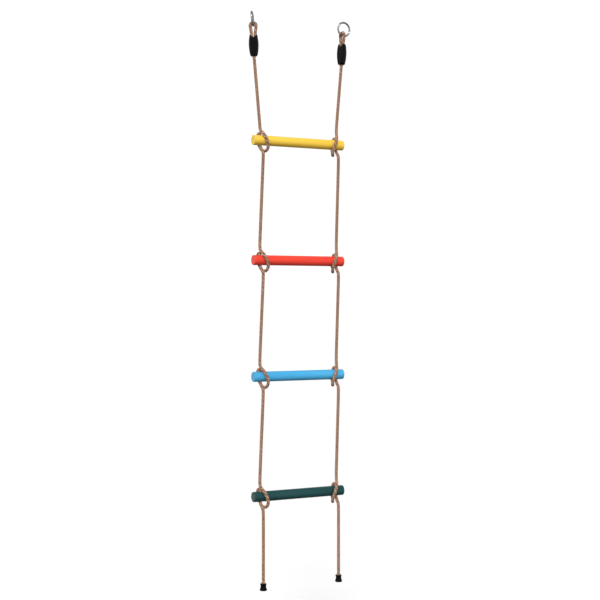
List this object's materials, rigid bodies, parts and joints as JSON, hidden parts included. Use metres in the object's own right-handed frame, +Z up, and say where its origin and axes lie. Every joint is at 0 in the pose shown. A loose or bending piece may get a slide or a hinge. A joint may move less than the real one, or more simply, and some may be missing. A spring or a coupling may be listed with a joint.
{
  "type": "rope ladder",
  "caption": "Hanging rope ladder: round coloured plastic rungs hitched into two braided ropes, with steel rings and clamp barrels at the top and rubber caps on the tails.",
  "frame": {"origin": "midway between the two rings, on the line through the points where the rope eyes bear on them", "axes": "+X along the rungs to the right, +Y to the back, +Z up"},
  "size_m": [0.3443, 0.0572, 1.7053],
  "materials": {
    "rope": "braided hemp-coloured rope",
    "rung_yellow": "semi-gloss moulded plastic",
    "rung_red": "semi-gloss moulded plastic",
    "rung_blue": "semi-gloss moulded plastic",
    "rung_green": "semi-gloss moulded plastic",
    "ring_steel": "galvanised steel wire",
    "clamp_plastic": "black moulded plastic",
    "cap_rubber": "black moulded rubber"
  },
  "bodies": {
    "hangers": {"rope_left_eye": "rope", "rope_left_upper": "rope", "barrel_left_front_shell": "clamp_plastic", "barrel_left_back_shell": "clamp_plastic", "rope_right_eye": "rope", "rope_right_upper": "rope", "barrel_right_front_shell": "clamp_plastic", "barrel_right_back_shell": "clamp_plastic"},
    "ring_left": {"ring_left": "ring_steel"},
    "ring_right": {"ring_right": "ring_steel"},
    "rung_yellow": {"rung_yellow": "rung_yellow", "rung_yellow_plug_left": "rung_yellow", "rope_left_hitch_yellow": "rope", "rung_yellow_plug_right": "rung_yellow", "rope_right_hitch_yellow": "rope"},
    "bay_1": {"rope_left_bay_1": "rope", "rope_right_bay_1": "rope"},
    "rung_red": {"rung_red": "rung_red", "rung_red_plug_left": "rung_red", "rope_left_hitch_red": "rope", "rung_red_plug_right": "rung_red", "rope_right_hitch_red": "rope"},
    "bay_2": {"rope_left_bay_2": "rope", "rope_right_bay_2": "rope"},
    "rung_blue": {"rung_blue": "rung_blue", "rung_blue_plug_left": "rung_blue", "rope_left_hitch_blue": "rope", "rung_blue_plug_right": "rung_blue", "rope_right_hitch_blue": "rope"},
    "bay_3": {"rope_left_bay_3": "rope", "rope_right_bay_3": "rope"},
    "rung_green": {"rung_green": "rung_green", "rung_green_plug_left": "rung_green", "rope_left_hitch_green": "rope", "rung_green_plug_right": "rung_green", "rope_right_hitch_green": "rope"},
    "tail_left": {"rope_left_tail": "rope", "end_cap_left": "cap_rubber"},
    "tail_right": {"rope_right_tail": "rope", "end_cap_right": "cap_rubber"}
  },
  "joints": [
    {"name": "ring_left_turn", "type": "hinge", "parent": "hangers", "child": "ring_left", "pos_m": [-0.15153, 0.00092, 0.02042], "axis": [0.8539, -0.5131, 0.0872], "continuous": true},
    {"name": "ring_right_turn", "type": "hinge", "parent": "hangers", "child": "ring_right", "pos_m": [0.15564, 0.00039, 0.01971], "axis": [0.0698, -0.9976, 0], "continuous": true},
    {"name": "fold_above_yellow", "type": "hinge", "parent": "hangers", "child": "rung_yellow", "pos_m": [0, -0.00045, -0.27008], "axis": [1, 0, 0], "range_deg": [-80, 80]},
    {"name": "fold_below_yellow", "type": "hinge", "parent": "rung_yellow", "child": "bay_1", "pos_m": [0, -0.01852, -0.40094], "axis": [-1, 0, 0], "range_deg": [-80, 80]},
    {"name": "fold_above_red", "type": "hinge", "parent": "bay_1", "child": "rung_red", "pos_m": [0, -0.00198, -0.62406], "axis": [1, 0, 0], "range_deg": [-80, 80]},
    {"name": "fold_below_red", "type": "hinge", "parent": "rung_red", "child": "bay_2", "pos_m": [0, -0.01846, -0.75494], "axis": [-1, 0, 0], "range_deg": [-80, 80]},
    {"name": "fold_above_blue", "type": "hinge", "parent": "bay_2", "child": "rung_blue", "pos_m": [0, -0.00204, -0.96806], "axis": [1, 0, 0], "range_deg": [-80, 80]},
    {"name": "fold_below_blue", "type": "hinge", "parent": "rung_blue", "child": "bay_3", "pos_m": [0, -0.01852, -1.09894], "axis": [-1, 0, 0], "range_deg": [-80, 80]},
    {"name": "fold_above_green", "type": "hinge", "parent": "bay_3", "child": "rung_green", "pos_m": [0, -0.00198, -1.32206], "axis": [1, 0, 0], "range_deg": [-80, 80]},
    {"name": "tail_left_swing", "type": "hinge", "parent": "rung_green", "child": "tail_left", "pos_m": [-0.126, -0.02, -1.453], "axis": [-1, 0, 0], "range_deg": [-80, 80]},
    {"name": "tail_right_swing", "type": "hinge", "parent": "rung_green", "child": "tail_right", "pos_m": [0.126, -0.02, -1.453], "axis": [-1, 0, 0], "range_deg": [-80, 80]}
  ]
}
